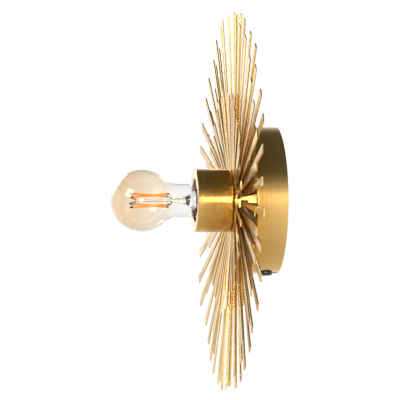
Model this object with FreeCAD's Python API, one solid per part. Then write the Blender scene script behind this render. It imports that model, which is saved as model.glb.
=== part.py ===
"""Sunburst wall lamp: a brass base on the wall, a burst of thin flat brass strips in front of it,
and a brass socket collar that holds one screw-in globe bulb.

Millimetres. The origin is the centre of the wall face, +Z is up and the lamp faces -Y.
A distance from the wall is called a station: station s lies in the plane Y = -s."""
import FreeCAD, Part
import math
import os
import random

from FreeCAD import Vector

os.makedirs("parts", exist_ok=True)

# ---------------------------------------------------------------- driving dimensions
FIT = 0.05                      # radial clearance of a plain hole round its pin, screw or tube
GAP = 0.3                       # air between pieces that move past each other

base_radius = 71.5
base_depth = 30.0
base_wall = 1.0
base_edge = 2.0                 # outer rounding of the base's front corner

screw_tilt = 17.0               # side screws, degrees from straight down and straight up
screw_station = 12.0
screw_radius = 2.0
screw_thread_length = 9.0
knob_radius = 5.9
knob_height = 2.0
knob_dome = 0.8
knob_dot_radius = 1.25
upper_head_radius = 4.0
upper_head_height = 1.1
washer_radius = 4.6
washer_height = 0.5

strap_width = 20.0
strap_thick = 1.5
strap_clearance = 1.6           # between a strap tab and the inside of the base
tab_height = 18.0
fixing_pitch = 100.0            # the two wall screws, centre to centre
fixing_hole_radius = 2.6
cable_hole_radius = 7.0
grommet_wall = 1.5
grommet_lip = 1.2
grommet_height = 3.4
earth_screw_offset = 26.0       # bracket earth screw, from the centre along the strap
rivet_nut_radius = 3.0
rivet_nut_length = 7.0
rivet_flange_radius = 4.2
rivet_flange = 0.8
m4_head_radius = 3.6
m4_head_height = 2.4

rod_radius = 5.0                # hollow M10 rod
rod_bore = 3.7
rod_rear_station = 17.0
nut_flats = 14.0
nut_height = 5.0
lock_washer_radius = 8.5
lock_washer_height = 1.0
plate_thick = 1.0
plate_width = 18.0
plate_reach = 48.0
tag_thick = 0.8
tag_radius = 8.0
tag_angle = -23.0               # the tag points at the terminal block's earth way
tag_reach = 15.0
sleeve_wall = 0.35

block_inner = 30.0              # terminal block, nearest side from the axis
block_depth = 16.0
block_width = 28.0
block_height = 12.0
way_pitch = 9.0
clamp_radius = 2.2
m3_radius = 1.5
wire_radius = 1.0
wire_offset = 1.9               # each wire's centre from the rod's axis
groove_bend = 2.6               # bend radius where a wire enters and leaves its groove

burst_station = 39.7            # middle plane of the strips' roots
disc_radius = 22.0
disc_thick = 1.2
ray_thick = 1.2
layer_gap = 0.4
root_radius = 16.0
root_width = 2.0
long_radius = 183.0
long_tip_width = 8.0
short_radius = 110.0
short_tip_width = 7.2
rays_per_layer = 40
ray_scatter = 0.4               # degrees either way from even spacing
long_scatter = 4.0              # most that a strip falls short of its ring's radius
short_scatter = 7.0
# Least and most that a strip's tip stands in front of its root, for the four layers from the wall
# outwards. Each layer leans more steeply than the one behind it, so that no strip meets another.
rear_short_lean = (-1.5, 1.2)
rear_long_lean = (2.0, 6.0)
front_long_lean = (7.0, 11.0)
front_short_lean = (6.4, 8.6)
burst_tilt = 1.2                # degrees that the burst's foot stands forward, by hand assembly
spacer_radius = 8.0
ring_radius = 12.0

collar_clearance = 3.9          # between the lampholder's lugs and the inside of the collar
collar_wall = 1.2
collar_floor = 2.5
collar_stand = 0.41             # between the collar's rear corner and the foremost strip
collar_front_station = 79.0
collar_edge = 2.0
collar_bevel = 0.4
face_ring_bore = 21.2
face_ring_thick = 1.5

holder_radius = 19.5
holder_front_station = 77.0
holder_recess_radius = 6.0
holder_recess_depth = 2.4
holder_floor = 1.2
shell_bore = 13.4
shell_wall = 0.25
contact_radius = 3.6
lug_size = 6.0
lug_station = 57.0
lug_stand = 6.0                 # how far a lug stands out of the porcelain
holder_screw_offset = 16.2

bulb_radius = 30.0
bulb_centre_station = 130.0
bulb_neck_radius = 16.3
bulb_neck_fillet = 22.0
bulb_wall = 0.8
cap_radius = 13.05
cap_wall = 0.3
cap_front_station = 77.0
cap_rear_station = 58.0
bulb_contact_station = 55.2
bulb_contact_radius = 4.8
filament_count = 4
filament_radius = 1.0
filament_length = 32.0
filament_station = 123.0
filament_clip_length = 3.0
filament_circle = 7.0
filament_lean = 7.0
support_radius = 0.35

# ---------------------------------------------------------------- shared stations
cover_front = base_depth
washer_rear = cover_front - base_wall - lock_washer_height
plate_rear = washer_rear - plate_thick
tag_rear = plate_rear - tag_thick
nut_rear = tag_rear - nut_height
rear_disc_rear = burst_station - layer_gap / 2 - ray_thick - disc_thick
front_disc_rear = burst_station + layer_gap / 2 + ray_thick
lug_reach = holder_radius + lug_stand
collar_radius = lug_reach + collar_clearance + collar_wall
strip_bend = disc_radius + 0.6  # a strip leans from here outwards
strip_rise = front_short_lean[1] * (collar_radius - strip_bend) / (short_radius - strip_bend)
collar_rear_station = front_disc_rear + disc_thick + ray_thick + strip_rise + collar_stand
collar_floor_front = collar_rear_station + collar_floor
holder_floor_rear = collar_floor_front + holder_recess_depth
holder_floor_front = holder_floor_rear + holder_floor
rod_front_station = collar_floor_front
cover_inner = base_radius - base_wall
tab_outer = cover_inner - strap_clearance
knob_seat = base_radius + GAP + washer_height
way_stations = plate_rear - block_height / 2
block_middle = block_inner + block_depth / 2
recess_station = collar_floor_front + holder_recess_depth / 2
lug_middle = (holder_radius + lug_reach) / 2


# ---------------------------------------------------------------- helpers
def at(x, station, z):
    """A point given by its station."""
    return Vector(x, -station, z)


def rod(radius, s0, s1, x=0.0, z=0.0):
    """Cylinder along the lamp's axis between two stations."""
    return Part.makeCylinder(radius, s1 - s0, at(x, s0, z), Vector(0, -1, 0))


def tube(outer, inner, s0, s1, x=0.0, z=0.0):
    return rod(outer, s0, s1, x, z).cut(rod(inner, s0, s1, x, z))


def slab(x0, x1, s0, s1, z0, z1):
    """Box between two x, two stations and two z."""
    return Part.makeBox(x1 - x0, s1 - s0, z1 - z0, Vector(x0, -s1, z0))


def up_rod(radius, z0, z1, station, x=0.0):
    """Cylinder along Z at a station."""
    return Part.makeCylinder(radius, z1 - z0, at(x, station, z0), Vector(0, 0, 1))


def across_rod(radius, x0, x1, station, z=0.0):
    """Cylinder along X at a station."""
    return Part.makeCylinder(radius, x1 - x0, at(x0, station, z), Vector(1, 0, 0))


def hexagon(flats, s0, s1):
    """Hexagonal prism along the lamp's axis, by its width across flats."""
    corner = flats / math.sqrt(3)
    points = [at(corner * math.cos(math.radians(a)), s0, corner * math.sin(math.radians(a)))
              for a in range(0, 361, 60)]
    return Part.Face(Part.makePolygon(points)).extrude(Vector(0, s0 - s1, 0))


def turned(edges):
    """Full turn about the lamp's axis of a closed outline, given in the X-Y half plane."""
    face = Part.Face(Part.Wire(edges))
    return face.revolve(Vector(0, 0, 0), Vector(0, 1, 0), 360)


def line(a, b):
    """Outline edge between two (radius, station) points."""
    return Part.LineSegment(at(a[0], a[1], 0), at(b[0], b[1], 0)).toShape()


def arc(a, middle, b):
    """Outline arc through three (radius, station) points."""
    return Part.Arc(at(a[0], a[1], 0), at(middle[0], middle[1], 0), at(b[0], b[1], 0)).toShape()


def lathe(points):
    """Turned piece with a straight-sided outline of (radius, station) points."""
    return turned([line(a, b) for a, b in zip(points, points[1:] + points[:1])])


def leaned(shape):
    """The base's inner parts stand in line with the side screws, which lean off the vertical."""
    shape = shape.copy()
    shape.rotate(Vector(0, 0, 0), Vector(0, 1, 0), -screw_tilt)
    return shape


def group(solids):
    return Part.makeCompound([solid for shape in solids for solid in shape.Solids])


def save(name, shape):
    if not shape.isValid():
        raise ValueError(name + " is not a valid shape")
    shape.exportStep("parts/" + name + ".step")


def wire_tube(points, radius, bends=()):
    """Round wire along straight runs joined by tangent arcs. bends gives the radius of each corner
    from the first; a corner past its end is as large as its two runs allow."""
    solids = []
    start = points[0]
    for i in range(1, len(points) - 1):
        before = points[i] - points[i - 1]
        after = points[i + 1] - points[i]
        turn = before.getAngle(after)
        bend = bends[i - 1] if i <= len(bends) else None
        if bend is None:
            bend = 0.45 * min(before.Length, after.Length) / math.tan(turn / 2)
        trim = bend * math.tan(turn / 2)
        unit_in = Vector(before).normalize()
        unit_out = Vector(after).normalize()
        arc_start = points[i] - unit_in * trim
        axis = unit_in.cross(unit_out).normalize()
        centre = arc_start + axis.cross(unit_in).normalize() * bend
        solids.append(Part.makeCylinder(radius, (arc_start - start).Length, start, unit_in))
        section = Part.Face(Part.Wire(Part.makeCircle(radius, arc_start, unit_in)))
        solids.append(section.revolve(centre, axis, math.degrees(turn)))
        start = points[i] + unit_out * trim
    last = points[-1] - start
    solids.append(Part.makeCylinder(radius, last.Length, start, Vector(last).normalize()))
    return solids[0].multiFuse(solids[1:]).removeSplitter()


# ---------------------------------------------------------------- wall bracket and its fittings
def wall_bracket():
    """Steel strap with its two ends turned forward to take the side screws."""
    strap = slab(-strap_width / 2, strap_width / 2, 0, strap_thick, -tab_outer, tab_outer)
    strap = strap.cut(rod(cable_hole_radius, 0, strap_thick))
    for side in (-1, 1):
        strap = strap.cut(rod(fixing_hole_radius, 0, strap_thick, z=side * fixing_pitch / 2))
        inner, outer = sorted((side * (tab_outer - strap_thick), side * tab_outer))
        tab = slab(-strap_width / 2, strap_width / 2, strap_thick, tab_height, inner, outer)
        tab = tab.cut(up_rod(rivet_nut_radius + FIT, inner, outer, screw_station))
        strap = strap.fuse(tab)
    strap = strap.cut(rod(screw_radius + FIT, 0, strap_thick, z=earth_screw_offset))
    return strap.removeSplitter()


def rivet_nuts():
    """Threaded inserts in the strap's tabs; the flange lies against the tab's outer face."""
    nuts = []
    for side in (-1, 1):
        body = Part.makeCylinder(rivet_nut_radius, rivet_nut_length,
                                 at(0, screw_station, side * tab_outer), Vector(0, 0, -side))
        flange = Part.makeCylinder(rivet_flange_radius, rivet_flange,
                                   at(0, screw_station, side * tab_outer), Vector(0, 0, side))
        bore = Part.makeCylinder(screw_radius + FIT, rivet_nut_length + rivet_flange,
                                 at(0, screw_station, side * (tab_outer + rivet_flange)),
                                 Vector(0, 0, -side))
        nuts.append(body.fuse(flange).cut(bore).removeSplitter())
    return group(nuts)


def cable_grommet():
    """Rubber grommet in the strap's centre hole, a little off the wall."""
    lip_radius = cable_hole_radius + grommet_lip
    neck = cable_hole_radius - FIT
    bore = cable_hole_radius - grommet_wall
    return lathe([(bore, GAP), (neck, GAP), (neck, strap_thick), (lip_radius, strap_thick),
                  (lip_radius, grommet_height), (bore, grommet_height)])


def pan_screw(radius, head_radius, head_height, seat, tip, x, z):
    """Pan-head screw along the lamp's axis: it seats at one station, its tip nearer the wall."""
    head = rod(head_radius, seat, seat + head_height, x, z)
    slot = slab(x - head_radius, x + head_radius, seat + head_height * 0.6, seat + head_height,
                z - head_height / 6, z + head_height / 6)
    return rod(radius, tip, seat, x, z).fuse(head).cut(slot).removeSplitter()


# ---------------------------------------------------------------- side screws
def lower_stud():
    """Steel screw whose turned-down outer end shows as a dot in the knob."""
    base = at(0, screw_station, -knob_seat)
    thread = Part.makeCylinder(screw_radius, screw_thread_length, base, Vector(0, 0, 1))
    end = Part.makeCylinder(knob_dot_radius, knob_height, base, Vector(0, 0, -1))
    return thread.fuse(end).removeSplitter()


def lower_knob():
    """Black low round knob with a domed top, pressed on the stud's end."""
    rim = knob_height - knob_dome
    dome = (knob_radius ** 2 + knob_dome ** 2) / (2 * knob_dome)
    base = at(0, screw_station, -knob_seat)
    blank = Part.makeCylinder(knob_radius, knob_height, base, Vector(0, 0, -1))
    ball = Part.makeSphere(dome, at(0, screw_station, -(knob_seat + rim + knob_dome - dome)))
    knob = blank.common(ball)
    return knob.cut(Part.makeCylinder(knob_dot_radius, knob_height, base, Vector(0, 0, -1)))


def upper_screw():
    """Low slotted screw at the top, out of sight over the base's edge."""
    base = at(0, screw_station, knob_seat)
    thread = Part.makeCylinder(screw_radius, screw_thread_length, base, Vector(0, 0, -1))
    head = Part.makeCylinder(upper_head_radius, upper_head_height, base, Vector(0, 0, 1))
    slot = slab(-upper_head_radius, upper_head_radius, screw_station - 0.5, screw_station + 0.5,
                knob_seat + upper_head_height / 2, knob_seat + upper_head_height)
    return thread.fuse(head).cut(slot).removeSplitter()


def side_washer(side):
    base = at(0, screw_station, side * (base_radius + GAP))
    disc = Part.makeCylinder(washer_radius, washer_height, base, Vector(0, 0, side))
    return disc.cut(Part.makeCylinder(screw_radius + FIT, washer_height, base, Vector(0, 0, side)))


# ---------------------------------------------------------------- base cover
def base_cover():
    """Drawn brass cup, open to the wall, with a slot at each side screw that runs out of its rim."""
    r = base_radius
    e = base_edge
    f = cover_front
    w = base_wall
    q = e * (1 - math.sqrt(0.5))
    qi = (e - w) * (1 - math.sqrt(0.5))
    cup = turned([
        line((rod_radius + FIT, f), (r - e, f)),
        arc((r - e, f), (r - q, f - q), (r, f - e)),
        line((r, f - e), (r, 0)),
        line((r, 0), (r - w, 0)),
        line((r - w, 0), (r - w, f - e)),
        arc((r - w, f - e), (r - w - qi, f - w - qi), (r - e, f - w)),
        line((r - e, f - w), (rod_radius + FIT, f - w)),
        line((rod_radius + FIT, f - w), (rod_radius + FIT, f))])
    slot_half = screw_radius + GAP
    for side in (-1, 1):
        low, high = sorted((side * base_radius * 0.9, side * base_radius * 1.1))
        cup = cup.cut(up_rod(slot_half, low, high, screw_station))
        cup = cup.cut(slab(-slot_half, slot_half, -1, screw_station, low, high))
    return cup


# ---------------------------------------------------------------- centre rod, nut, earth, terminals
def threaded_rod():
    return tube(rod_radius, rod_bore, rod_rear_station, rod_front_station)


def rear_nut():
    return hexagon(nut_flats, nut_rear, tag_rear).cut(rod(rod_radius + FIT, nut_rear, tag_rear))


def lock_washer():
    """Toothed washer that bites into the base and the plate."""
    washer = tube(lock_washer_radius, rod_radius + FIT, washer_rear, cover_front - base_wall)
    teeth = 12
    for i in range(teeth):
        angle = 2 * math.pi * i / teeth
        reach = lock_washer_radius
        notch = rod(0.8, washer_rear, cover_front - base_wall,
                    reach * math.cos(angle), reach * math.sin(angle))
        washer = washer.cut(notch)
    return washer


def carrier_plate():
    """Steel plate clamped behind the base; the terminal block is screwed to its long end."""
    half = plate_width / 2
    plate = slab(0, plate_reach, plate_rear, washer_rear, -half, half)
    plate = plate.fuse(rod(half, plate_rear, washer_rear))
    plate = plate.cut(rod(rod_radius + FIT, plate_rear, washer_rear))
    plate = plate.cut(rod(m3_radius + FIT, plate_rear, washer_rear, x=block_middle, z=way_pitch / 2))
    return plate.removeSplitter()


def earth_tag():
    """Ring tag under the nut, with a crimp barrel that takes the earth wire."""
    ring = tube(tag_radius, rod_radius + FIT, tag_rear, plate_rear)
    tongue = slab(tag_radius - 1, tag_reach - 3, tag_rear, plate_rear, -2, 2)
    barrel_station = tag_rear - wire_radius
    barrel = across_rod(wire_radius + 0.9, tag_reach - 4.5, tag_reach, barrel_station)
    barrel = barrel.cut(across_rod(wire_radius, tag_reach - 1.5, tag_reach, barrel_station))
    clear = hexagon(nut_flats + 2 * FIT, nut_rear, tag_rear)
    tag = ring.fuse(tongue).fuse(barrel.cut(clear)).removeSplitter()
    tag.rotate(Vector(0, 0, 0), Vector(0, 1, 0), -tag_angle)
    return tag.cut(slab(-99, 99, plate_rear, plate_rear + 9, -99, 99))


def terminal_block():
    """Nylon three-way block: a through bore and two screw wells for each way."""
    body = slab(block_inner, block_inner + block_depth, plate_rear - block_height, plate_rear,
                -block_width / 2, block_width / 2)
    for i in (-1, 0, 1):
        z = i * way_pitch
        body = body.cut(across_rod(clamp_radius + FIT, block_inner, block_inner + block_depth,
                                   way_stations, z))
        for x in clamp_screw_xs():
            body = body.cut(rod(m3_radius + 0.5, plate_rear - block_height, way_stations, x, z))
    body = body.cut(rod(m3_radius + FIT, plate_rear - block_height, plate_rear,
                        block_middle, way_pitch / 2))
    head_well = rod(m3_radius + 1.3, plate_rear - block_height, plate_rear - block_height + 2.4,
                    block_middle, way_pitch / 2)
    return body.cut(head_well)


def clamp_screw_xs():
    return (block_inner + block_depth * 0.25, block_inner + block_depth * 0.75)


def terminal_clamps():
    """Brass tubes, one in each way of the block, with the wire's bore and two screw holes."""
    clamps = []
    for i in (-1, 0, 1):
        z = i * way_pitch
        body = across_rod(clamp_radius, block_inner + 1, block_inner + block_depth - 1, way_stations, z)
        body = body.cut(across_rod(wire_radius + 0.4, block_inner + 1, block_inner + block_depth - 1,
                                   way_stations, z))
        for x in clamp_screw_xs():
            body = body.cut(rod(1.25 + FIT, way_stations - clamp_radius, way_stations, x, z))
        clamps.append(body)
    return group(clamps)


def terminal_screws():
    """Six small slotted screws; each bears on the wire in its clamp."""
    screws = []
    for i in (-1, 0, 1):
        for x in clamp_screw_xs():
            z = i * way_pitch
            head = plate_rear - block_height + 1.5
            shank = rod(1.25, head, way_stations - wire_radius, x, z)
            cap = rod(m3_radius + 0.3, head - 1.0, head, x, z)
            slot = slab(x - 2, x + 2, head - 1.0, head - 0.5, z - 0.3, z + 0.3)
            screws.append(shank.fuse(cap).cut(slot).removeSplitter())
    return group(screws)


def block_screw():
    """Screw through the block into the carrier plate, its head in a well of the block."""
    well = plate_rear - block_height + 2.4
    z = way_pitch / 2
    head = rod(m3_radius + 1.1, well - 1.6, well, block_middle, z)
    slot = slab(block_middle - 3, block_middle + 3, well - 1.6, well - 0.9, z - 0.35, z + 0.35)
    return rod(m3_radius, well, washer_rear, block_middle, z).fuse(head).cut(slot).removeSplitter()


# ---------------------------------------------------------------- wires
def mains_wire(way, side, rise):
    """From its way in the block, round the rod's rear end, through the rod, out along a groove
    under the lampholder and forward into its terminal lug."""
    z = way * way_pitch
    points = [at(block_inner, way_stations, z),
              at(block_inner - 10, way_stations - 1.5, z * 0.85 + side * 0.6),
              at(9, 9.5 + rise, z * 0.5 + side * 1.8),
              at(0, 8.2 + rise, side * wire_offset),
              at(0, recess_station, side * wire_offset),
              at(0, recess_station, side * lug_middle),
              at(0, lug_station, side * lug_middle)]
    return wire_tube(points, wire_radius, (None, None, None, groove_bend, groove_bend))


def earth_wire():
    """From the block's third way to the ring tag under the nut."""
    angle = math.radians(tag_angle)
    ray = Vector(math.cos(angle), 0, math.sin(angle))
    barrel_station = tag_rear - wire_radius
    start = at(0, barrel_station, 0) + ray * (tag_reach - 1.5)
    points = [start,
              start + ray * 6.5,
              at(block_inner - 5.0, way_stations + 0.6, -way_pitch * 0.98),
              at(block_inner, way_stations, -way_pitch)]
    return wire_tube(points, wire_radius)


def wire_sleeve():
    outer = rod_bore - FIT
    return tube(outer, outer - sleeve_wall, rod_rear_station - 1.5, collar_rear_station + 1)


# ---------------------------------------------------------------- the burst
def ray(angle, tip_radius, tip_width, back, lift):
    """One flat strip with its tapered sides straight: it lies on a disc up to the disc's edge and
    then leans by lift at its tip. back is the station of its rear face at the root."""
    bend = strip_bend
    share = (bend - root_radius) / (tip_radius - root_radius)
    halves = (root_width / 2, (root_width + share * (tip_width - root_width)) / 2, tip_width / 2)
    spots = ((root_radius, 0.0), (bend, 0.0), (tip_radius, lift))
    low = []
    high = []
    for (radius, rise), half in zip(spots, halves):
        for side in (-1, 1):
            low.append(at(radius, back + rise, side * half))
            high.append(at(radius, back + rise + ray_thick, side * half))
    quads = []
    for i in (0, 2):
        quads.append([low[i], low[i + 1], low[i + 3], low[i + 2]])
        quads.append([high[i], high[i + 1], high[i + 3], high[i + 2]])
        quads.append([low[i], low[i + 2], high[i + 2], high[i]])
        quads.append([low[i + 1], low[i + 3], high[i + 3], high[i + 1]])
    quads.append([low[0], low[1], high[1], high[0]])
    quads.append([low[4], low[5], high[5], high[4]])
    faces = [Part.Face(Part.makePolygon(quad + quad[:1])) for quad in quads]
    solid = Part.Solid(Part.Shell(faces))
    if solid.Volume < 0:
        solid.reverse()
    solid.rotate(Vector(0, 0, 0), Vector(0, 1, 0), angle)
    return solid


def ray_layer(first, back, tip_radius, tip_width, lean, length_scatter, chance):
    """A ring of strips by hand and eye: each leans, points and ends a little unlike the next."""
    step = 360 / rays_per_layer
    rays = []
    for i in range(rays_per_layer):
        angle = first + i * step + chance.uniform(-ray_scatter, ray_scatter)
        reach = tip_radius - chance.uniform(0, length_scatter)
        tilt = math.tan(math.radians(burst_tilt)) * reach * math.sin(math.radians(angle))
        rays.append(ray(angle, reach, tip_width, back, chance.uniform(*lean) + tilt))
    return rays


def burst_rays():
    """Short strips behind the rear disc, long ones in front of it, then long behind the front disc
    and short in front of it."""
    chance = random.Random(11)
    quarter = 360 / rays_per_layer / 4
    backs = (rear_disc_rear - ray_thick, rear_disc_rear + disc_thick,
             front_disc_rear - ray_thick, front_disc_rear + disc_thick)
    short = ray_layer(quarter, backs[0], short_radius, short_tip_width, rear_short_lean, short_scatter, chance)
    long = ray_layer(0, backs[1], long_radius, long_tip_width, rear_long_lean, long_scatter, chance)
    long += ray_layer(2 * quarter, backs[2], long_radius, long_tip_width, front_long_lean, long_scatter, chance)
    short += ray_layer(3 * quarter, backs[3], short_radius, short_tip_width, front_short_lean, short_scatter,
                       chance)
    return group(long), group(short)


# ---------------------------------------------------------------- socket collar and lampholder
def socket_collar():
    """Turned brass cup: rounded at its rear edge, a fine bevel at its front edge."""
    r = collar_radius
    e = collar_edge
    b = collar_bevel
    q = e * (1 - math.sqrt(0.5))
    s0 = collar_rear_station
    s1 = collar_front_station
    cup = turned([
        line((rod_radius + FIT, s0), (r - e, s0)),
        arc((r - e, s0), (r - q, s0 + q), (r, s0 + e)),
        line((r, s0 + e), (r, s1 - b)),
        line((r, s1 - b), (r - b, s1)),
        line((r - b, s1), (r - collar_wall, s1)),
        line((r - collar_wall, s1), (r - collar_wall, collar_floor_front)),
        line((r - collar_wall, collar_floor_front), (rod_radius + FIT, collar_floor_front)),
        line((rod_radius + FIT, collar_floor_front), (rod_radius + FIT, s0))])
    for side in (-1, 1):
        cup = cup.cut(holder_screw(side, FIT))
    return cup


def face_ring():
    """Flat ring that closes the collar round the bulb's neck."""
    outer = collar_radius - collar_wall - FIT
    s0 = collar_front_station - face_ring_thick
    s1 = collar_front_station
    b = collar_bevel
    return lathe([(face_ring_bore, s0), (outer, s0), (outer, s1), (face_ring_bore + b, s1),
                  (face_ring_bore, s1 - b)])


def holder_screw(side, grow=0.0):
    """Countersunk screw from behind the collar's floor into the lampholder."""
    x = side * holder_screw_offset
    s0 = collar_rear_station
    cone = Part.makeCone(2.9 + grow, m3_radius + grow, 1.4, at(x, s0, 0), Vector(0, -1, 0))
    shank = rod(m3_radius + grow, s0, collar_floor_front + 6.0 + grow, x)
    return cone.fuse(shank).removeSplitter()


def lampholder_body():
    """Porcelain: a deep screw cavity, a wire recess with two grooves behind, a pocket for each lug."""
    mouth = bulb_neck_radius + 0.5
    cavity = shell_bore + shell_wall + FIT
    body = lathe([(1.0, holder_floor_rear), (holder_recess_radius, holder_floor_rear),
                  (holder_recess_radius, collar_floor_front), (holder_radius, collar_floor_front),
                  (holder_radius, holder_front_station), (mouth, holder_front_station),
                  (cavity, holder_front_station - 4), (cavity, holder_floor_front),
                  (1.0, holder_floor_front)])
    groove = wire_radius + 0.2
    body = body.cut(slab(-groove, groove, collar_floor_front, collar_floor_front + holder_recess_depth,
                         -holder_radius, holder_radius))
    for side in (-1, 1):
        body = body.cut(holder_screw(side, FIT))
        body = body.cut(lug_block(side, FIT))
        body = body.cut(lug_screw(side, FIT))
    return body


def lug_block(side, grow=0.0):
    inner = holder_radius - 2.0 - grow
    low, high = sorted((side * inner, side * lug_reach))
    half = lug_size / 2 + grow
    return slab(-half, half, lug_station - grow, lug_station + lug_size + grow, low, high)


def lug_screw(side, grow=0.0):
    """Terminal screw, driven inwards from the lug's outer face."""
    station = lug_station + lug_size * 0.6
    length = lug_reach - holder_radius + 1.5
    shank = Part.makeCylinder(m3_radius + grow, length, at(0, station, side * lug_reach),
                              Vector(0, 0, -side))
    head = Part.makeCylinder(2.5 + grow, 1.6, at(0, station, side * lug_reach), Vector(0, 0, side))
    return shank.fuse(head).removeSplitter()


def lampholder_lugs():
    return group([lug_block(side).cut(lug_screw(side, FIT)) for side in (-1, 1)])


def lug_screws():
    screws = []
    for side in (-1, 1):
        station = lug_station + lug_size * 0.6
        low, high = sorted((side * (lug_reach + 0.9), side * (lug_reach + 1.6)))
        slot = slab(-3, 3, station - 0.35, station + 0.35, low, high)
        screws.append(lug_screw(side).cut(slot))
    return group(screws)


def lampholder_shell():
    """Thin brass screw shell in the porcelain cavity, with a lip at its floor."""
    outer = shell_bore + shell_wall
    wall = tube(outer, shell_bore, holder_floor_front, holder_front_station - 4.5)
    lip = tube(outer, outer - 3.0, holder_floor_front, holder_floor_front + 0.4)
    return wall.fuse(lip).removeSplitter()


def centre_contact():
    """Brass button on a rivet through the porcelain floor; the bulb's tip rests against it."""
    button = rod(contact_radius, bulb_contact_station - FIT - 0.5, bulb_contact_station - FIT)
    stem = rod(1.0 - FIT, holder_floor_rear - 0.3, bulb_contact_station - 0.5)
    collar = rod(2.2, holder_floor_front, bulb_contact_station - 0.5)
    return button.fuse(collar).fuse(stem).removeSplitter()


# ---------------------------------------------------------------- bulb
def bulb_outline(inset):
    """Edges of the bulb's outline from its tip to its rear end, drawn in by inset, and the rear point."""
    big = bulb_radius - inset
    neck = bulb_neck_radius - inset
    bend = bulb_neck_fillet + inset
    c = bulb_centre_station
    reach = math.sqrt((big + bend) ** 2 - (neck + bend) ** 2)
    fillet_centre = (neck + bend, c - reach)
    angle = math.atan2(neck + bend, -reach)
    touch = (big * math.sin(angle), c + big * math.cos(angle))
    top = (big * math.sin(angle / 2), c + big * math.cos(angle / 2))
    to_touch = math.atan2(touch[1] - fillet_centre[1], touch[0] - fillet_centre[0])
    half_way = (to_touch + math.pi) / 2
    middle = (fillet_centre[0] + bend * math.cos(half_way), fillet_centre[1] + bend * math.sin(half_way))
    neck_start = (neck, fillet_centre[1])
    shoulder = (neck, cap_front_station + 6)
    rear = (cap_radius - cap_wall - FIT - inset, cap_front_station + 0.5)
    foot = (rear[0], cap_front_station - 4)
    edges = [arc((0, c + big), top, touch),
             arc(touch, middle, neck_start),
             line(neck_start, shoulder),
             line(shoulder, rear),
             line(rear, foot)]
    return edges, foot


def bulb_glass():
    """Closed blown globe on a straight neck, sealed at its foot inside the cap."""
    solids = []
    for inset in (0.0, bulb_wall):
        edges, foot = bulb_outline(inset)
        end = (foot[0], foot[1] + inset)
        if inset:
            edges[-1] = line((foot[0], cap_front_station + 0.5), end)
        tip = (0, bulb_centre_station + bulb_radius - inset)
        solids.append(turned(edges + [line(end, (0, end[1])), line((0, end[1]), tip)]))
    return solids[0].cut(solids[1])


def bulb_cap():
    """Screw shell of the bulb with a plain skirt, open at both ends."""
    r = cap_radius
    w = cap_wall
    s0 = cap_rear_station
    s1 = cap_front_station
    return lathe([(r - 2.5, s0), (r, s0 + 2.0), (r, s1), (r - w, s1), (r - w, s0 + 2.2),
                  (r - 2.5 - w, s0 + 0.2)])


def bulb_insulator():
    """Black glass cone between the screw shell and the tip contact."""
    r = cap_radius - 2.5 - cap_wall - FIT
    return lathe([(0, bulb_contact_station + 1.2), (bulb_contact_radius, bulb_contact_station + 1.2),
                  (r, cap_rear_station + 0.2), (r, cap_rear_station + 1.6), (0, cap_rear_station + 1.6)])


def bulb_contact():
    """Solder dome at the bulb's tip, part of a ball."""
    rim = bulb_contact_radius - 0.4
    height = 1.2
    ball = (rim ** 2 + height ** 2) / (2 * height)
    half = math.asin(rim / ball) / 2
    s0 = bulb_contact_station
    s1 = s0 + height
    middle = (ball * math.sin(half), s0 + ball - ball * math.cos(half))
    return turned([line((0, s1), (rim, s1)), arc((rim, s1), middle, (0, s0)), line((0, s0), (0, s1))])


def bulb_stem():
    """Glass mount: a flared foot sealed in the neck, and a slim rod up the middle."""
    foot = cap_front_station + 1.0
    rim = cap_radius - cap_wall - 2 * bulb_wall - 1.0
    return lathe([(0, foot), (rim, foot), (rim, foot + 0.8), (4.0, foot + 9), (2.0, foot + 19),
                  (1.4, foot + 22), (1.4, filament_station + filament_length / 2 - 4),
                  (0, filament_station + filament_length / 2 - 4)])


def filament_place(shape, index):
    """Filaments stand round the stem; each leans a little round it."""
    shape = shape.copy()
    shape.rotate(at(0, filament_station, 0), Vector(1, 0, 0), filament_lean)
    shape.translate(Vector(filament_circle, 0, 0))
    shape.rotate(Vector(0, 0, 0), Vector(0, 1, 0), 45 + 360 / filament_count * index)
    return shape


def filaments():
    half = filament_length / 2
    blank = rod(filament_radius, filament_station - half, filament_station + half)
    return group([filament_place(blank, i) for i in range(filament_count)])


def filament_clips():
    """Dark metal ends of the filaments."""
    half = filament_length / 2
    clips = []
    for i in range(filament_count):
        for s in (filament_station - half - filament_clip_length, filament_station + half):
            clips.append(filament_place(rod(filament_radius * 0.8, s, s + filament_clip_length), i))
    return group(clips)


def support_wires():
    """Radial wires from the stem to each filament's two ends."""
    half = filament_length / 2 + filament_clip_length
    wires = []
    for i in range(filament_count):
        for end in (-1, 1):
            tip = at(filament_circle, filament_station, 0)
            lean = math.radians(filament_lean)
            offset = Vector(0, -end * half * math.cos(lean), -end * half * math.sin(lean))
            tip = tip + offset
            rotation = FreeCAD.Rotation(Vector(0, 1, 0), 45 + 360 / filament_count * i)
            tip = rotation.multVec(tip)
            stem_station = -tip.y + (-3.0 if end < 0 else -6.0)
            inner = Vector(tip.x, 0, tip.z).normalize() * (2.2 if end < 0 else 1.6)
            root = Vector(inner.x, -stem_station, inner.z)
            run = tip - root
            wires.append(Part.makeCylinder(support_radius, run.Length - 1.5, root, run))
    return group(wires)


def driver_board():
    """Small circuit board on edge inside the cap."""
    return slab(-8, 8, cap_rear_station + 3, cap_front_station - 6, -0.5, 0.5)


def driver_capacitor():
    return rod(3.0, cap_rear_station + 4, cap_front_station - 7, z=4.2)


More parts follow.
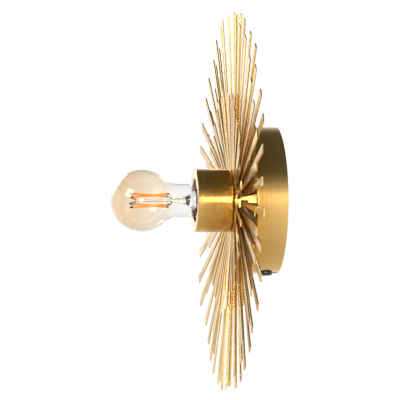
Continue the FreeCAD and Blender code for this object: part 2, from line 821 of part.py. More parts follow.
# ---------------------------------------------------------------- build
save("wall_bracket", leaned(wall_bracket()))
save("bracket_rivet_nuts", leaned(rivet_nuts()))
save("cable_grommet", leaned(cable_grommet()))
save("bracket_earth_screw", leaned(pan_screw(screw_radius, m4_head_radius, m4_head_height,
                                             strap_thick + washer_height, 0.3, 0, earth_screw_offset)))
save("bracket_earth_washer", leaned(tube(washer_radius, screw_radius + FIT, strap_thick,
                                         strap_thick + washer_height, z=earth_screw_offset)))
save("side_screw_lower", leaned(lower_stud()))
save("side_screw_lower_knob", leaned(lower_knob()))
save("side_screw_lower_washer", leaned(side_washer(-1)))
save("side_screw_upper", leaned(upper_screw()))
save("side_screw_upper_washer", leaned(side_washer(1)))

save("base_cover", leaned(base_cover()))
save("threaded_rod", threaded_rod())
save("rear_nut", leaned(rear_nut()))
save("lock_washer", leaned(lock_washer()))
save("carrier_plate", leaned(carrier_plate()))
save("earth_tag", leaned(earth_tag()))
save("terminal_block", leaned(terminal_block()))
save("terminal_clamps", leaned(terminal_clamps()))
save("terminal_screws", leaned(terminal_screws()))
save("terminal_block_screw", leaned(block_screw()))
save("live_wire", leaned(mains_wire(1, 1, 0.0)))
save("neutral_wire", leaned(mains_wire(0, -1, 1.0)))
save("earth_wire", leaned(earth_wire()))
save("wire_sleeve", wire_sleeve())

long_rays, short_rays = burst_rays()
save("long_rays", long_rays)
save("short_rays", short_rays)
save("rear_hub_disc", tube(disc_radius, rod_radius + FIT, rear_disc_rear, rear_disc_rear + disc_thick))
save("front_hub_disc", tube(disc_radius, rod_radius + FIT, front_disc_rear, front_disc_rear + disc_thick))
save("hub_spacer_ring", tube(ring_radius, rod_radius + FIT, rear_disc_rear + disc_thick, front_disc_rear))
save("burst_spacer", tube(spacer_radius, rod_radius + FIT, cover_front, rear_disc_rear))
save("collar_spacer", tube(ring_radius, rod_radius + FIT, front_disc_rear + disc_thick, collar_rear_station))

save("socket_collar", leaned(socket_collar()))
save("collar_face_ring", face_ring())
save("lampholder_body", leaned(lampholder_body()))
save("lampholder_shell", lampholder_shell())
save("lampholder_contact", centre_contact())
save("lampholder_lugs", leaned(lampholder_lugs()))
save("lampholder_lug_screws", leaned(lug_screws()))
save("lampholder_fixing_screws", leaned(group([holder_screw(side) for side in (-1, 1)])))

save("bulb_glass", bulb_glass())
save("bulb_cap", bulb_cap())
save("bulb_insulator", bulb_insulator())
save("bulb_contact", bulb_contact())
save("bulb_stem", bulb_stem())
save("bulb_filaments", filaments())
save("bulb_filament_clips", filament_clips())
save("bulb_support_wires", support_wires())
save("bulb_driver_board", driver_board())
save("bulb_driver_capacitor", driver_capacitor())
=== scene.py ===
"""Looks for the sunburst wall lamp. Metres; the lamp's axis is Y, it faces -Y and its wall is at Y = 0."""

import math

import bpy
import numpy as np
from mathutils import Euler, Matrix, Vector


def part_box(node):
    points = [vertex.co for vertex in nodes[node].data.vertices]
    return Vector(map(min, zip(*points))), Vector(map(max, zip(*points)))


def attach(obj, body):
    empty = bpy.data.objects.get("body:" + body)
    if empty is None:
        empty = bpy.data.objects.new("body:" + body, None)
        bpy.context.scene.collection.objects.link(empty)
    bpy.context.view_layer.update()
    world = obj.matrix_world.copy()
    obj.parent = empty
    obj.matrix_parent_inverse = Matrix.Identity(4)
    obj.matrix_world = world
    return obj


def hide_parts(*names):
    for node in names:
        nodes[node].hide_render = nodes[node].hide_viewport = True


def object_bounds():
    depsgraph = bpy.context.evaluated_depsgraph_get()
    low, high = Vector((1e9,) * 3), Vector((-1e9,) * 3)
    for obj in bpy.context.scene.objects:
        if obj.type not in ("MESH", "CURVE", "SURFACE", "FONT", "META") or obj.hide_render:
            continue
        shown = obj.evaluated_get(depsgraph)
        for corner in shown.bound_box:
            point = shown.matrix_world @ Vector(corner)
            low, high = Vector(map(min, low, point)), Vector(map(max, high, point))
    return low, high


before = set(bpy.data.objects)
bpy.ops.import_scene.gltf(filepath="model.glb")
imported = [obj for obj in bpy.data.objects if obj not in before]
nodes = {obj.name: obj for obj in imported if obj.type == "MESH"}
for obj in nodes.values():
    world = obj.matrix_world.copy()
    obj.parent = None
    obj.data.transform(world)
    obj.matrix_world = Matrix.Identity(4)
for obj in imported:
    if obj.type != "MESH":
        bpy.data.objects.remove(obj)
cad_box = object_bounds()

# ---------------------------------------------------------------- studio
# A white floor under the lamp, which hangs free of its wall, in a pale room: white at the
# horizon and dim overhead, so that each turned brass face runs from brown at its top through
# one bright band to gold below.
scene = bpy.context.scene
scene.view_settings.view_transform = "Standard"


def linear(code):
    """An sRGB hex colour turned to linear red, green and blue, with alpha 1."""
    parts = [int(code[i:i + 2], 16) / 255 for i in (1, 3, 5)]
    return tuple(c / 12.92 if c <= 0.04045 else ((c + 0.055) / 1.055) ** 2.4 for c in parts) + (1.0,)


def add_node(tree, kind, settings, inputs):
    """One shader node: settings go to its own properties; each input is a value or another node's
    output, keyed by the socket's name or number."""
    node = tree.nodes.new(kind)
    for name, value in settings.items():
        setattr(node, name, value)
    for key, value in inputs.items():
        if isinstance(value, bpy.types.NodeSocket):
            tree.links.new(value, node.inputs[key])
        else:
            node.inputs[key].default_value = value
    return node


def colour_stops(ramp_node, stops):
    """Sets a colour ramp's stops from (position, linear colour) pairs."""
    ramp = ramp_node.color_ramp
    while len(ramp.elements) < len(stops):
        ramp.elements.new(0.5)
    for element, (position, colour) in zip(ramp.elements, stops):
        element.position = position
        element.color = colour


def grey(value):
    return (value, value, value, 1.0)


room = bpy.data.worlds.new("pale_room")
scene.world = room
room.use_nodes = True
tree = room.node_tree
tree.nodes.clear()
direction = add_node(tree, "ShaderNodeTexCoord", {}, {}).outputs["Generated"]
height = add_node(tree, "ShaderNodeSeparateXYZ", {}, {0: direction}).outputs["Z"]
share = add_node(tree, "ShaderNodeMapRange", {}, {0: height, 1: -1.0, 2: 1.0, 3: 0.0, 4: 1.0})
sky = add_node(tree, "ShaderNodeValToRGB", {}, {0: share.outputs[0]})
colour_stops(sky, [(0.0, grey(0.80)), (0.40, grey(1.02)), (0.60, grey(1.02)), (0.72, grey(0.42)),
                   (0.85, grey(0.12)), (1.0, grey(0.10))])
glow = add_node(tree, "ShaderNodeBackground", {}, {"Color": sky.outputs[0], "Strength": 1.0})
add_node(tree, "ShaderNodeOutputWorld", {}, {"Surface": glow.outputs[0]})

floor_drop = 0.12
floor_level = cad_box[0][2] - floor_drop
floor_half = 6.0
floor_mesh = bpy.data.meshes.new("floor")
floor_mesh.from_pydata([(-floor_half, -floor_half, floor_level), (floor_half, -floor_half, floor_level),
                        (floor_half, floor_half, floor_level), (-floor_half, floor_half, floor_level)],
                       [], [(0, 1, 2, 3)])
floor = bpy.data.objects.new("floor", floor_mesh)
scene.collection.objects.link(floor)
floor_paint = bpy.data.materials.new("white_light_table")
floor_paint.use_nodes = True
tree = floor_paint.node_tree
tree.nodes.clear()
# Painted sheen: the floor's glow rises from 0.70 where it faces the view to 1.02 at grazing angles.
grazing = add_node(tree, "ShaderNodeLayerWeight", {}, {"Blend": 0.5}).outputs["Facing"]
floor_level_light = add_node(tree, "ShaderNodeMapRange", {}, {0: grazing, 1: 0.0, 2: 0.8, 3: 0.70, 4: 1.02})
floor_glow = add_node(tree, "ShaderNodeEmission", {}, {"Strength": floor_level_light.outputs[0]})
add_node(tree, "ShaderNodeOutputMaterial", {}, {"Surface": floor_glow.outputs[0]})
floor_mesh.materials.append(floor_paint)


def soft_light(name, place, target, size, watts, colour="#ffffff"):
    """Square soft light at a place, turned to a target. It isn't seen, only its light is."""
    lamp = bpy.data.lights.new(name, "AREA")
    lamp.size = size
    lamp.energy = watts
    lamp.color = linear(colour)[:3]
    holder = bpy.data.objects.new(name, lamp)
    scene.collection.objects.link(holder)
    holder.location = place
    holder.rotation_euler = (Vector(target) - Vector(place)).to_track_quat("-Z", "Y").to_euler()
    holder.visible_camera = False
    return holder


middle = Vector((0.0, (cad_box[0][1] + cad_box[1][1]) / 2, 0.0))
soft_light("strip_light", (2.2, -0.5, 0.28), middle, 0.55, 26, "#fff8ec")
soft_light("window_light", (0.9, -1.6, 0.9), middle, 0.9, 16)
soft_light("back_light", (-1.6, -0.9, 0.5), middle, 0.8, 10)

# ---------------------------------------------------------------- camera
# It stands a little in front of the burst's side, just above the axis, and leans by a part of a
# degree. Its target is on the lamp's axis.
turn_round = math.radians(82.3)
look_down = math.radians(3.7)
camera_lean = math.radians(0.45)
camera_distance = 1.6
camera_lens = 148.8
camera_target = Vector((0.0, -0.0736, 0.0005))
camera_data = bpy.data.cameras.new("camera")
camera_data.lens = camera_lens
camera_data.sensor_width = 36.0
camera = bpy.data.objects.new("camera", camera_data)
scene.collection.objects.link(camera)
look = Vector((-math.sin(turn_round) * math.cos(look_down), math.cos(turn_round) * math.cos(look_down),
               -math.sin(look_down)))
camera.location = camera_target - look * camera_distance
level_turn = look.to_track_quat("-Z", "Y")
camera.rotation_euler = (level_turn @ Euler((0, 0, camera_lean)).to_quaternion()).to_euler()
scene.camera = camera

# ---------------------------------------------------------------- base cover
# The base is a deep-drawn brass cup. It was spun against fine abrasive, so it carries rings of
# brushing all round it, and then clear lacquered.
def surface_piece(name, vertices, faces, smooth_angle=30.0):
    """A mesh piece at the origin from whole arrays of vertices and faces, smooth but for its corners."""
    mesh = bpy.data.meshes.new(name)
    mesh.from_pydata(vertices, [], faces)
    mesh.validate()
    piece = bpy.data.objects.new(name, mesh)
    scene.collection.objects.link(piece)
    mesh.shade_smooth()
    mesh.set_sharp_from_angle(angle=math.radians(smooth_angle))
    return piece


def lathe(name, outline, steps, smooth_angle=30.0):
    """A closed outline of (radius, station) rows turned about the axis: point j of turn i stands at
    radius r times the cosine and sine of i steps, at Y = minus its station. A row at radius 0 is
    drawn together into one pole. The outline runs so that its outside is on its left."""
    outline = np.asarray(outline, float)
    turn = np.arange(steps) * 2 * math.pi / steps
    radius, station = outline[:, 0], outline[:, 1]
    rows = len(outline)
    points = np.stack([radius[None] * np.cos(turn)[:, None],
                       -np.repeat(station[None], steps, 0),
                       radius[None] * np.sin(turn)[:, None]], -1).reshape(-1, 3)
    i, j = np.meshgrid(np.arange(steps), np.arange(rows), indexing="ij")
    after, below = (i + 1) % steps, (j + 1) % rows
    quads = np.stack([i * rows + j, i * rows + below, after * rows + below, after * rows + j],
                     -1).reshape(-1, 4)
    pole = np.flatnonzero(radius < 1e-9)
    first = np.arange(steps * rows)
    for row in pole:
        first[row::rows] = row
    quads = first[quads]
    faces = [list(dict.fromkeys(quad)) for quad in quads.tolist()]
    used = np.unique(first)
    renumber = np.zeros(steps * rows, int)
    renumber[used] = np.arange(len(used))
    faces = [renumber[face].tolist() for face in faces if len(face) > 2]
    return surface_piece(name, points[used].tolist(), faces, smooth_angle)


def arc_points(centre, radius, start, stop, count):
    """Points of an arc of an outline, from one angle to another in degrees: angle 0 looks away from
    the axis and 90 towards the front."""
    angle = np.radians(np.linspace(start, stop, count))
    return [(centre[0] + radius * c, centre[1] + radius * s) for c, s in zip(np.cos(angle), np.sin(angle))]


def finish_of(name, **sockets):
    """A Principled material and its tree, with plain values set on the shader's own sockets."""
    material = bpy.data.materials.new(name)
    material.use_nodes = True
    shader = material.node_tree.nodes["Principled BSDF"]
    for key, value in sockets.items():
        shader.inputs[key.replace("_", " ")].default_value = value
    return material, material.node_tree, shader


def paint(piece, material):
    piece.data.materials.clear()
    piece.data.materials.append(material)


def ring_brushed(name, light, dark, edge, roughness, line_spacing, mottle_size):
    """Turned and brushed brass. Lines run in rings: noise is read at (distance from the axis plus
    place along it), finely, and hardly at all round the ring. A slower noise tones the lacquer.
    The tangent is the normal crossed with the ring's direction, so gloss spreads across the lines."""
    material, tree, shader = finish_of(name, Metallic=1.0, Anisotropic=0.55, Coat_Weight=0.06,
                                       Coat_Roughness=0.12)
    place = add_node(tree, "ShaderNodeTexCoord", {}, {}).outputs["Object"]
    split = add_node(tree, "ShaderNodeSeparateXYZ", {}, {0: place})
    flat = add_node(tree, "ShaderNodeCombineXYZ", {}, {0: split.outputs[0], 2: split.outputs[2]})
    radius = add_node(tree, "ShaderNodeVectorMath", {"operation": "LENGTH"},
                      {0: flat.outputs[0]}).outputs["Value"]
    across = add_node(tree, "ShaderNodeMath", {"operation": "SUBTRACT"},
                      {0: radius, 1: split.outputs[1]}).outputs[0]
    fine = add_node(tree, "ShaderNodeMath", {"operation": "DIVIDE"},
                    {0: across, 1: line_spacing}).outputs[0]
    slow = add_node(tree, "ShaderNodeVectorMath", {"operation": "SCALE"},
                    {0: flat.outputs[0], "Scale": 1 / (40 * line_spacing)})
    slow_split = add_node(tree, "ShaderNodeSeparateXYZ", {}, {0: slow.outputs[0]})
    lines_place = add_node(tree, "ShaderNodeCombineXYZ", {}, {0: slow_split.outputs[0], 1: fine,
                                                              2: slow_split.outputs[2]})
    lines = add_node(tree, "ShaderNodeTexNoise", {}, {"Vector": lines_place.outputs[0], "Scale": 1.0,
                                                      "Detail": 4.0,
                                                      "Roughness": 0.65}).outputs["Fac"]
    mottle = add_node(tree, "ShaderNodeTexNoise", {}, {"Vector": place, "Scale": 1 / mottle_size,
                                                       "Detail": 3.0}).outputs["Fac"]
    both = add_node(tree, "ShaderNodeMath", {"operation": "MULTIPLY_ADD"},
                    {0: lines, 1: 0.65, 2: 0.0}).outputs[0]
    both = add_node(tree, "ShaderNodeMath", {"operation": "MULTIPLY_ADD"},
                    {0: mottle, 1: 0.35, 2: both}).outputs[0]
    tone = add_node(tree, "ShaderNodeValToRGB", {}, {0: both})
    colour_stops(tone, [(0.30, linear(dark)), (0.62, linear(light))])
    # Painted highlight: sharp convex edges, found by pointiness, are mixed towards a lighter edge colour.
    pointiness_for_painted_highlight = add_node(tree, "ShaderNodeNewGeometry", {}, {}).outputs["Pointiness"]
    edge_share = add_node(tree, "ShaderNodeMapRange", {}, {0: pointiness_for_painted_highlight, 1: 0.54, 2: 0.60, 3: 0.0,
                                                           4: 1.0}).outputs[0]
    edged = add_node(tree, "ShaderNodeMix", {"data_type": "RGBA"},
                     {0: edge_share, 6: tone.outputs[0], 7: linear(edge)})
    rough = add_node(tree, "ShaderNodeMapRange", {}, {0: lines, 1: 0.3, 2: 0.7, 3: roughness * 0.75,
                                                      4: roughness * 1.3})
    bump = add_node(tree, "ShaderNodeBump", {}, {"Height": lines, "Strength": 0.12, "Distance": 0.00004})
    ring = add_node(tree, "ShaderNodeVectorMath", {"operation": "CROSS_PRODUCT"},
                    {0: flat.outputs[0], 1: (0.0, 1.0, 0.0)})
    normal = add_node(tree, "ShaderNodeNewGeometry", {}, {}).outputs["Normal"]
    tangent = add_node(tree, "ShaderNodeVectorMath", {"operation": "CROSS_PRODUCT"},
                       {0: normal, 1: ring.outputs[0]})
    for socket, output in (("Base Color", edged.outputs[2]), ("Roughness", rough.outputs[0]),
                           ("Normal", bump.outputs[0]), ("Tangent", tangent.outputs[0])):
        tree.links.new(output, shader.inputs[socket])
    return material


# Deep-drawn brass, brushed in rings and lacquered: the lines stretch every reflection along the
# lamp's axis. The real lines are about 0.1 mm apart; they are drawn 0.5 mm apart so that they show.
brushed_brass = ring_brushed("brushed_lacquered_brass", "#e0ad58", "#b98639", "#ecc47c", 0.20, 0.0005,
                             0.022)
paint(nodes["base_cover"], brushed_brass)

# ---------------------------------------------------------------- wall bracket and its fittings
# Pressed steel strap, insert nuts, earth screw and washer, all zinc-plated and passivated: a cold
# grey with faint cloudy spangle and a trace of yellow. A black rubber grommet lines its cable hole.
def plated(name, light, dark, roughness, cloud_size):
    """Plated or bare metal: slow noise for its cloudiness and fine noise for its tooth."""
    material, tree, shader = finish_of(name, Metallic=1.0)
    place = add_node(tree, "ShaderNodeTexCoord", {}, {}).outputs["Object"]
    cloud = add_node(tree, "ShaderNodeTexNoise", {}, {"Vector": place, "Scale": 1 / cloud_size,
                                                      "Detail": 5.0}).outputs["Fac"]
    tooth = add_node(tree, "ShaderNodeTexNoise", {}, {"Vector": place, "Scale": 2500.0,
                                                      "Detail": 2.0}).outputs["Fac"]
    tone = add_node(tree, "ShaderNodeValToRGB", {}, {0: cloud})
    colour_stops(tone, [(0.35, linear(dark)), (0.65, linear(light))])
    rough = add_node(tree, "ShaderNodeMapRange", {}, {0: cloud, 1: 0.3, 2: 0.7, 3: roughness * 0.8,
                                                      4: roughness * 1.25})
    bump = add_node(tree, "ShaderNodeBump", {}, {"Height": tooth, "Strength": 0.15, "Distance": 0.00003})
    tree.links.new(tone.outputs[0], shader.inputs["Base Color"])
    tree.links.new(rough.outputs[0], shader.inputs["Roughness"])
    tree.links.new(bump.outputs[0], shader.inputs["Normal"])
    return material


def moulded(name, light, dark, roughness, grain_size, depth=0.00003, **sockets):
    """Moulded plastic, rubber or ceramic: two near tones and a fine surface grain."""
    material, tree, shader = finish_of(name, Roughness=roughness, **sockets)
    place = add_node(tree, "ShaderNodeTexCoord", {}, {}).outputs["Object"]
    grain = add_node(tree, "ShaderNodeTexNoise", {}, {"Vector": place, "Scale": 1 / grain_size,
                                                      "Detail": 4.0}).outputs["Fac"]
    tone = add_node(tree, "ShaderNodeValToRGB", {}, {0: grain})
    colour_stops(tone, [(0.35, linear(dark)), (0.65, linear(light))])
    bump = add_node(tree, "ShaderNodeBump", {}, {"Height": grain, "Strength": 0.3, "Distance": depth})
    tree.links.new(tone.outputs[0], shader.inputs["Base Color"])
    tree.links.new(bump.outputs[0], shader.inputs["Normal"])
    return material


zinc = plated("zinc_plated_steel", "#c9c8c0", "#9fa09c", 0.32, 0.006)
rubber = moulded("black_rubber", "#242322", "#161616", 0.7, 0.0006)
for name in ("wall_bracket", "bracket_rivet_nuts", "bracket_earth_screw", "bracket_earth_washer"):
    paint(nodes[name], zinc)
paint(nodes["cable_grommet"], rubber)

# ---------------------------------------------------------------- side screws
# The lower one has a low domed knob of black thermoset plastic pressed on a plated stud, whose
# turned end is the bright dot in its middle; the upper one is a plain low slotted screw. A plated
# washer stands under each.
knob_black = moulded("black_thermoset_knob", "#141312", "#090909", 0.38, 0.0009, Specular_IOR_Level=0.3)
for side in ("lower", "upper"):
    paint(nodes["side_screw_" + side], zinc)
    paint(nodes["side_screw_" + side + "_washer"], zinc)
paint(nodes["side_screw_lower_knob"], knob_black)

# ---------------------------------------------------------------- rod, nut, plate and earth tag
# What clamps the lamp together behind the base: a hollow steel rod with a fine M10 thread, its
# nut and toothed washer, the terminal plate, and a tinned copper ring tag for the earth wire.
tinned = plated("tinned_copper", "#dcd9d0", "#b5b1a6", 0.28, 0.004)
for name in ("rear_nut", "lock_washer", "carrier_plate", "terminal_screws", "terminal_block_screw"):
    paint(nodes[name], zinc)
paint(nodes["earth_tag"], tinned)


def threaded_lathe(name, outline, steps, pitch, depth, first, last, smooth_angle=40.0):
    """A lathe piece, its outside listed from the rear forwards and so turned end for end here, whose
    wall is rolled into a right-hand thread between two stations: each point
    moves in by half the depth times one minus the cosine of (station over pitch less its share of a
    turn), times a fade over half a pitch at either end."""
    piece = lathe(name, outline[::-1], steps, smooth_angle)
    mesh = piece.data
    flat = np.zeros(len(mesh.vertices) * 3)
    mesh.vertices.foreach_get("co", flat)
    x, y, z = flat.reshape(-1, 3).T
    radius, station = np.hypot(x, z), -y
    phase = station / pitch - np.arctan2(z, x) / (2 * math.pi)
    fade = np.clip(np.minimum(station - first, last - station) / (pitch / 2), 0, 1)
    moved = radius - depth / 2 * (1 - np.cos(2 * math.pi * phase)) * fade
    scale = np.where(radius > 1e-9, moved / np.maximum(radius, 1e-9), 1.0)
    mesh.vertices.foreach_set("co", np.stack([x * scale, y, z * scale], -1).ravel())
    mesh.update()
    return piece


rod_low, rod_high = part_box("threaded_rod")
rod_radius = (rod_high[0] - rod_low[0]) / 2
rod_bore = 0.0037
rod_pitch = 0.001
rod_thread_depth = 0.0006
rows_per_turn = 8
rod_stations = np.arange(-rod_high[1], -rod_low[1] + 1e-9, rod_pitch / rows_per_turn)
rod_outline = ([(rod_radius, s) for s in rod_stations]
               + [(rod_bore, -rod_low[1]), (rod_bore, -rod_high[1])])
rod = threaded_lathe("rod_with_thread", rod_outline, 48, rod_pitch, rod_thread_depth, -rod_high[1], -rod_low[1])
paint(rod, zinc)
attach(rod, "lamp_body")
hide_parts("threaded_rod")

# ---------------------------------------------------------------- terminal block and wires
# Natural nylon block with brass clamps, and three wires with PVC covers: brown and blue go
# through a woven sleeve in the rod to the lampholder; green and yellow goes to the ring tag.
nylon = moulded("natural_nylon", "#e6e2d6", "#d6d1c2", 0.45, 0.003, Subsurface_Weight=0.15)
clamp_brass = plated("plain_turned_brass", "#d9ae5e", "#b78a3f", 0.25, 0.003)
paint(nodes["terminal_block"], nylon)
paint(nodes["terminal_clamps"], clamp_brass)
paint(nodes["live_wire"], moulded("brown_pvc", "#6a3f22", "#583218", 0.4, 0.004))
paint(nodes["neutral_wire"], moulded("blue_pvc", "#2b62a8", "#204f8e", 0.4, 0.004))
paint(nodes["wire_sleeve"], moulded("woven_glass_sleeving", "#e3dfd0", "#b9b4a2", 0.8, 0.0006,
                                    depth=0.0001))


def striped_pvc(name, first, second, band):
    """Two colours in bands, by a sine of the distance across the wire's run."""
    material, tree, shader = finish_of(name, Roughness=0.4)
    place = add_node(tree, "ShaderNodeTexCoord", {}, {}).outputs["Object"]
    wave = add_node(tree, "ShaderNodeTexWave", {"bands_direction": "DIAGONAL"},
                    {"Vector": place, "Scale": 0.1 / band, "Distortion": 0.3}).outputs["Fac"]
    tone = add_node(tree, "ShaderNodeValToRGB", {}, {0: wave})
    colour_stops(tone, [(0.48, linear(first)), (0.52, linear(second))])
    tree.links.new(tone.outputs[0], shader.inputs["Base Color"])
    return material


paint(nodes["earth_wire"], striped_pvc("green_and_yellow_pvc", "#2f8a3c", "#e5cf2c", 0.0035))

# ---------------------------------------------------------------- burst strips
# Flat strips sheared from thin half-hard brass, satin rubbed along their length and soldered
# between the hub discs. Their cut ends and edges are bright; tone differs a little from one to
# the next.
def strip_rubbed(name, light, dark, deep, roughness, grain_lines, tone_turns):
    """Satin brass with its grain along each strip: noise on the unit direction from the axis, many
    cells to a turn and none along the strip; a second noise, few to a turn, tones each strip."""
    material, tree, shader = finish_of(name, Metallic=1.0)
    place = add_node(tree, "ShaderNodeTexCoord", {}, {}).outputs["Object"]
    split = add_node(tree, "ShaderNodeSeparateXYZ", {}, {0: place})
    flat = add_node(tree, "ShaderNodeCombineXYZ", {}, {0: split.outputs[0], 2: split.outputs[2]})
    unit = add_node(tree, "ShaderNodeVectorMath", {"operation": "NORMALIZE"}, {0: flat.outputs[0]})
    lines_place = add_node(tree, "ShaderNodeVectorMath", {"operation": "SCALE"},
                           {0: unit.outputs[0], "Scale": grain_lines})
    slow_along = add_node(tree, "ShaderNodeVectorMath", {"operation": "SCALE"}, {0: place, "Scale": 25.0})
    grain_place = add_node(tree, "ShaderNodeVectorMath", {"operation": "ADD"},
                           {0: lines_place.outputs[0], 1: slow_along.outputs[0]})
    grain = add_node(tree, "ShaderNodeTexNoise", {}, {"Vector": grain_place.outputs[0], "Scale": 1.0,
                                                      "Detail": 3.0}).outputs["Fac"]
    tone_place = add_node(tree, "ShaderNodeVectorMath", {"operation": "SCALE"},
                          {0: unit.outputs[0], "Scale": tone_turns})
    layer = add_node(tree, "ShaderNodeMath", {"operation": "MULTIPLY"}, {0: split.outputs[1], 1: 350.0})
    tone_split = add_node(tree, "ShaderNodeSeparateXYZ", {}, {0: tone_place.outputs[0]})
    tone_place = add_node(tree, "ShaderNodeCombineXYZ", {}, {0: tone_split.outputs[0],
                                                             1: layer.outputs[0], 2: tone_split.outputs[2]})
    strip_tone = add_node(tree, "ShaderNodeTexNoise", {}, {"Vector": tone_place.outputs[0], "Scale": 1.0,
                                                           "Detail": 1.0}).outputs["Fac"]
    both = add_node(tree, "ShaderNodeMath", {"operation": "MULTIPLY"}, {0: grain, 1: 0.35}).outputs[0]
    both = add_node(tree, "ShaderNodeMath", {"operation": "MULTIPLY_ADD"},
                    {0: strip_tone, 1: 0.65, 2: both}).outputs[0]
    tone = add_node(tree, "ShaderNodeValToRGB", {}, {0: both})
    colour_stops(tone, [(0.30, linear(deep)), (0.46, linear(dark)), (0.62, linear(light))])
    rough = add_node(tree, "ShaderNodeMapRange", {}, {0: grain, 1: 0.3, 2: 0.7, 3: roughness * 0.8,
                                                      4: roughness * 1.25})
    bump = add_node(tree, "ShaderNodeBump", {}, {"Height": grain, "Strength": 0.15, "Distance": 0.00005})
    tree.links.new(tone.outputs[0], shader.inputs["Base Color"])
    tree.links.new(rough.outputs[0], shader.inputs["Roughness"])
    tree.links.new(bump.outputs[0], shader.inputs["Normal"])
    return material


strip_brass = strip_rubbed("satin_strip_brass", "#f6dc9f", "#e0b868", "#b78a3c", 0.22, 260.0, 14.0)
strip_edge = 0.00016
for name in ("long_rays", "short_rays"):
    strips = nodes[name]
    paint(strips, strip_brass)
    weld = strips.modifiers.new("joined", "WELD")
    weld.merge_threshold = 0.000005
    rounding = strips.modifiers.new("sheared_edges", "BEVEL")
    rounding.width = strip_edge
    rounding.segments = 1
    rounding.limit_method = "ANGLE"
    rounding.angle_limit = math.radians(40)

# ---------------------------------------------------------------- hub
# Two steel discs and a ring clamp the strips' roots; brass distance rings stand behind and in
# front of them. Only their rims show between the strips.
for name in ("rear_hub_disc", "front_hub_disc", "hub_spacer_ring"):
    paint(nodes[name], zinc)
for name in ("burst_spacer", "collar_spacer"):
    paint(nodes[name], brushed_brass)

# ---------------------------------------------------------------- socket collar
# Turned brass cup, brushed in rings like the base, with a rounded rear edge, a fine bright bevel
# in front, and a flat ring that closes it round the bulb's neck.
collar_brass = ring_brushed("brushed_collar_brass", "#e0b462", "#b48a44", "#f0cd86", 0.19, 0.0005, 0.014)
# The face ring is painted a paler, greyer brass than the cup: a painted reflection of the white room in front
# of it.
face_brass = ring_brushed("pale_face_brass", "#dcc3a4", "#c4a27c", "#f0dcb8", 0.30, 0.0004, 0.010)
paint(nodes["socket_collar"], collar_brass)
paint(nodes["collar_face_ring"], face_brass)

# ---------------------------------------------------------------- lampholder
# Brown-glazed porcelain body with a brass screw shell rolled to the bulb's thread, a brass
# centre button, two brass terminal lugs with plated screws and two plated fixing screws.
glaze = moulded("brown_glazed_porcelain", "#9a5a30", "#6e3a1c", 0.16, 0.004, Coat_Weight=0.4,
                Coat_Roughness=0.08)
paint(nodes["lampholder_body"], glaze)
paint(nodes["lampholder_contact"], clamp_brass)
paint(nodes["lampholder_lugs"], clamp_brass)
paint(nodes["lampholder_lug_screws"], zinc)
paint(nodes["lampholder_fixing_screws"], zinc)

edison_pitch = 0.003629
rolled_share = 0.4              # how much of the thread's depth each thin shell shows
thread_depth = 0.0009 * rolled_share
shell_low, shell_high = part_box("lampholder_shell")
shell_outer = (shell_high[0] - shell_low[0]) / 2
shell_wall = 0.00025
shell_rear, shell_front = -shell_high[1], -shell_low[1]
stations = np.linspace(shell_rear, shell_front, 81)
shell = threaded_lathe("rolled_screw_shell",
                       [(shell_outer, s) for s in stations] + [(shell_outer - shell_wall,
                                                                s) for s in stations[::-1]],
                       96, edison_pitch, thread_depth, shell_rear, shell_front)
paint(shell, clamp_brass)
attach(shell, "lamp_body")
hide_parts("lampholder_shell")

# ---------------------------------------------------------------- bulb glass
# Blown clear glass, tinted amber, darker at the tip and fading towards the neck along the axis:
# a globe that runs through a soft fillet into the neck and narrows into the cap.
glass_low, glass_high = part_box("bulb_glass")
globe_radius = (glass_high[0] - glass_low[0]) / 2
tip_station = -glass_low[1]
foot_station = -glass_high[1]
globe_station = tip_station - globe_radius
neck_radius = 0.0163
neck_fillet = 0.022
glass_wall = 0.0008
cap_low, cap_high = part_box("bulb_cap")
cap_radius = (cap_high[0] - cap_low[0]) / 2
cap_rear, cap_front = -cap_high[1], -cap_low[1]
foot_radius = cap_radius - 0.00035
shoulder_station = cap_front + 0.006


def glass_profile(inset):
    """Rows from the tip to the foot, drawn in by inset: a big arc, a fillet that meets it smoothly,
    a straight neck, and a shoulder down to the foot."""
    big = globe_radius - inset
    neck = neck_radius - inset
    bend = neck_fillet + inset
    reach = math.sqrt((big + bend) ** 2 - (neck + bend) ** 2)
    meet = math.degrees(math.atan2(-reach, neck + bend))
    rows = arc_points((0.0, globe_station), big, 90.0, meet, 72)
    rows[0] = (0.0, rows[0][1])
    rows += arc_points((neck + bend, globe_station - reach), bend, 180.0 + meet, 180.0, 18)[1:]
    neck_rear = globe_station - reach
    rows += [(neck, neck_rear + (shoulder_station + 0.0015 - neck_rear) * t) for t in (0.25, 0.5, 0.75,
                                                                                       1.0)]
    turn = np.linspace(0, 1, 14)[1:]
    ease = turn * turn * (3 - 2 * turn)
    foot = foot_radius - inset
    rows += list(zip(neck + (foot - neck) * ease, shoulder_station + 0.0015 - 0.0075 * turn))
    rows += [(foot, foot_station)]
    return rows


glass = lathe("bulb_envelope", glass_profile(0.0) + glass_profile(glass_wall)[::-1], 128, 60.0)
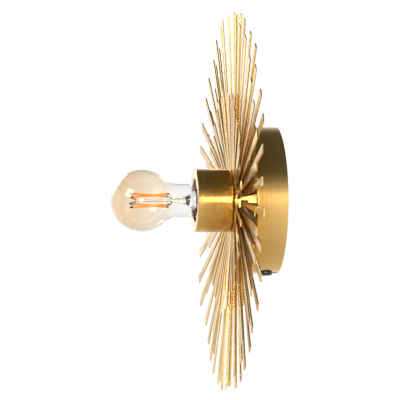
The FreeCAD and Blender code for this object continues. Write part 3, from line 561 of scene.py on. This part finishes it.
# Soda-lime glass tinted amber: darker at the tip, fading towards the neck along the axis, a touch uneven by a
# fine noise.
amber, tree, shader = finish_of("amber_coated_glass", Roughness=0.0, IOR=1.5, Transmission_Weight=1.0)
place = add_node(tree, "ShaderNodeTexCoord", {}, {}).outputs["Object"]
along = add_node(tree, "ShaderNodeSeparateXYZ", {}, {0: place}).outputs["Y"]
mist = add_node(tree, "ShaderNodeTexNoise", {}, {"Vector": place, "Scale": 40.0,
                                                 "Detail": 2.0}).outputs["Fac"]
drift = add_node(tree, "ShaderNodeMath", {"operation": "MULTIPLY_ADD"},
                 {0: mist, 1: 0.006, 2: along}).outputs[0]
tip_to_neck_share = add_node(tree, "ShaderNodeMapRange", {}, {0: drift, 1: -tip_station, 2: -(neck_radius + cap_front),
                                                 3: 0.0, 4: 1.0})
tint = add_node(tree, "ShaderNodeValToRGB", {}, {0: tip_to_neck_share.outputs[0]})
colour_stops(tint, [(0.0, (0.94, 0.80, 0.62, 1.0)), (0.42, (0.95, 0.84, 0.69, 1.0)),
                    (0.72, (0.97, 0.92, 0.84, 1.0)), (1.0, (0.99, 0.99, 0.98, 1.0))])
tree.links.new(tint.outputs[0], shader.inputs["Base Color"])
paint(glass, amber)
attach(glass, "bulb")
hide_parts("bulb_glass")

# ---------------------------------------------------------------- bulb cap
# Nickel-plated brass screw cap, its thread rolled to the holder's pitch, black glass and a solder
# dome at its tip, and inside it the small driver board and capacitor.
nickel = plated("nickel_plated_brass", "#d9d3c6", "#b3aca0", 0.20, 0.003)
cap_wall = 0.0003
cap_thread_rear = cap_rear + 0.0022
stations = np.linspace(cap_thread_rear, cap_front, 91)
cap_outline = ([(cap_radius - 0.0025, cap_rear), (cap_radius - 0.0007, cap_rear + 0.0010)]
               + [(cap_radius, s) for s in stations]
               + [(cap_radius - cap_wall, s) for s in stations[::-1]]
               + [(cap_radius - 0.0010, cap_rear + 0.0014), (cap_radius - 0.0028, cap_rear + 0.0003)])
thread_front = cap_front - 0.003
cap = threaded_lathe("bulb_cap_rolled", cap_outline, 96, edison_pitch, thread_depth, cap_rear,
                     thread_front)
paint(cap, nickel)
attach(cap, "bulb")
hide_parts("bulb_cap")
paint(nodes["bulb_insulator"], moulded("black_cap_glass", "#151515", "#0b0b0b", 0.12, 0.003))
paint(nodes["bulb_contact"], plated("tin_solder", "#b9b9b6", "#8f8f8c", 0.38, 0.0012))
paint(nodes["bulb_driver_board"], moulded("green_solder_mask", "#1f6b3a", "#18552e", 0.35, 0.004))
paint(nodes["bulb_driver_capacitor"], moulded("capacitor_sleeve", "#2a2a33", "#1d1d26", 0.3, 0.004))

# ---------------------------------------------------------------- bulb stem and filaments
# A clear pressed glass mount carries four strips of small diodes under orange phosphor, each
# clipped at both ends to thin nickel wires.
clear, tree, shader = finish_of("clear_pressed_glass", Roughness=0.02, IOR=1.5, Transmission_Weight=1.0)
place = add_node(tree, "ShaderNodeTexCoord", {}, {}).outputs["Object"]
striae = add_node(tree, "ShaderNodeTexNoise", {}, {"Vector": place, "Scale": 120.0,
                                                   "Detail": 2.0}).outputs["Fac"]
tint = add_node(tree, "ShaderNodeValToRGB", {}, {0: striae})
colour_stops(tint, [(0.3, (0.93, 0.94, 0.93, 1.0)), (0.7, (0.98, 0.98, 0.97, 1.0))])
bump = add_node(tree, "ShaderNodeBump", {}, {"Height": striae, "Strength": 0.2, "Distance": 0.0002})
tree.links.new(tint.outputs[0], shader.inputs["Base Color"])
tree.links.new(bump.outputs[0], shader.inputs["Normal"])
paint(nodes["bulb_stem"], clear)
# Painted glow: though the bulb is off, the filaments get a faint constant orange emission so they look lit from
# behind.
phosphor = moulded("orange_phosphor_silicone", "#ffae38", "#f39a1e", 0.45, 0.0012,
                   Emission_Color=linear("#ffa024"), Emission_Strength=0.40)
paint(nodes["bulb_filaments"], phosphor)
clip_metal = plated("dark_clip_metal", "#5a5148", "#3a342e", 0.35, 0.002)
paint(nodes["bulb_filament_clips"], clip_metal)
paint(nodes["bulb_support_wires"], clip_metal)
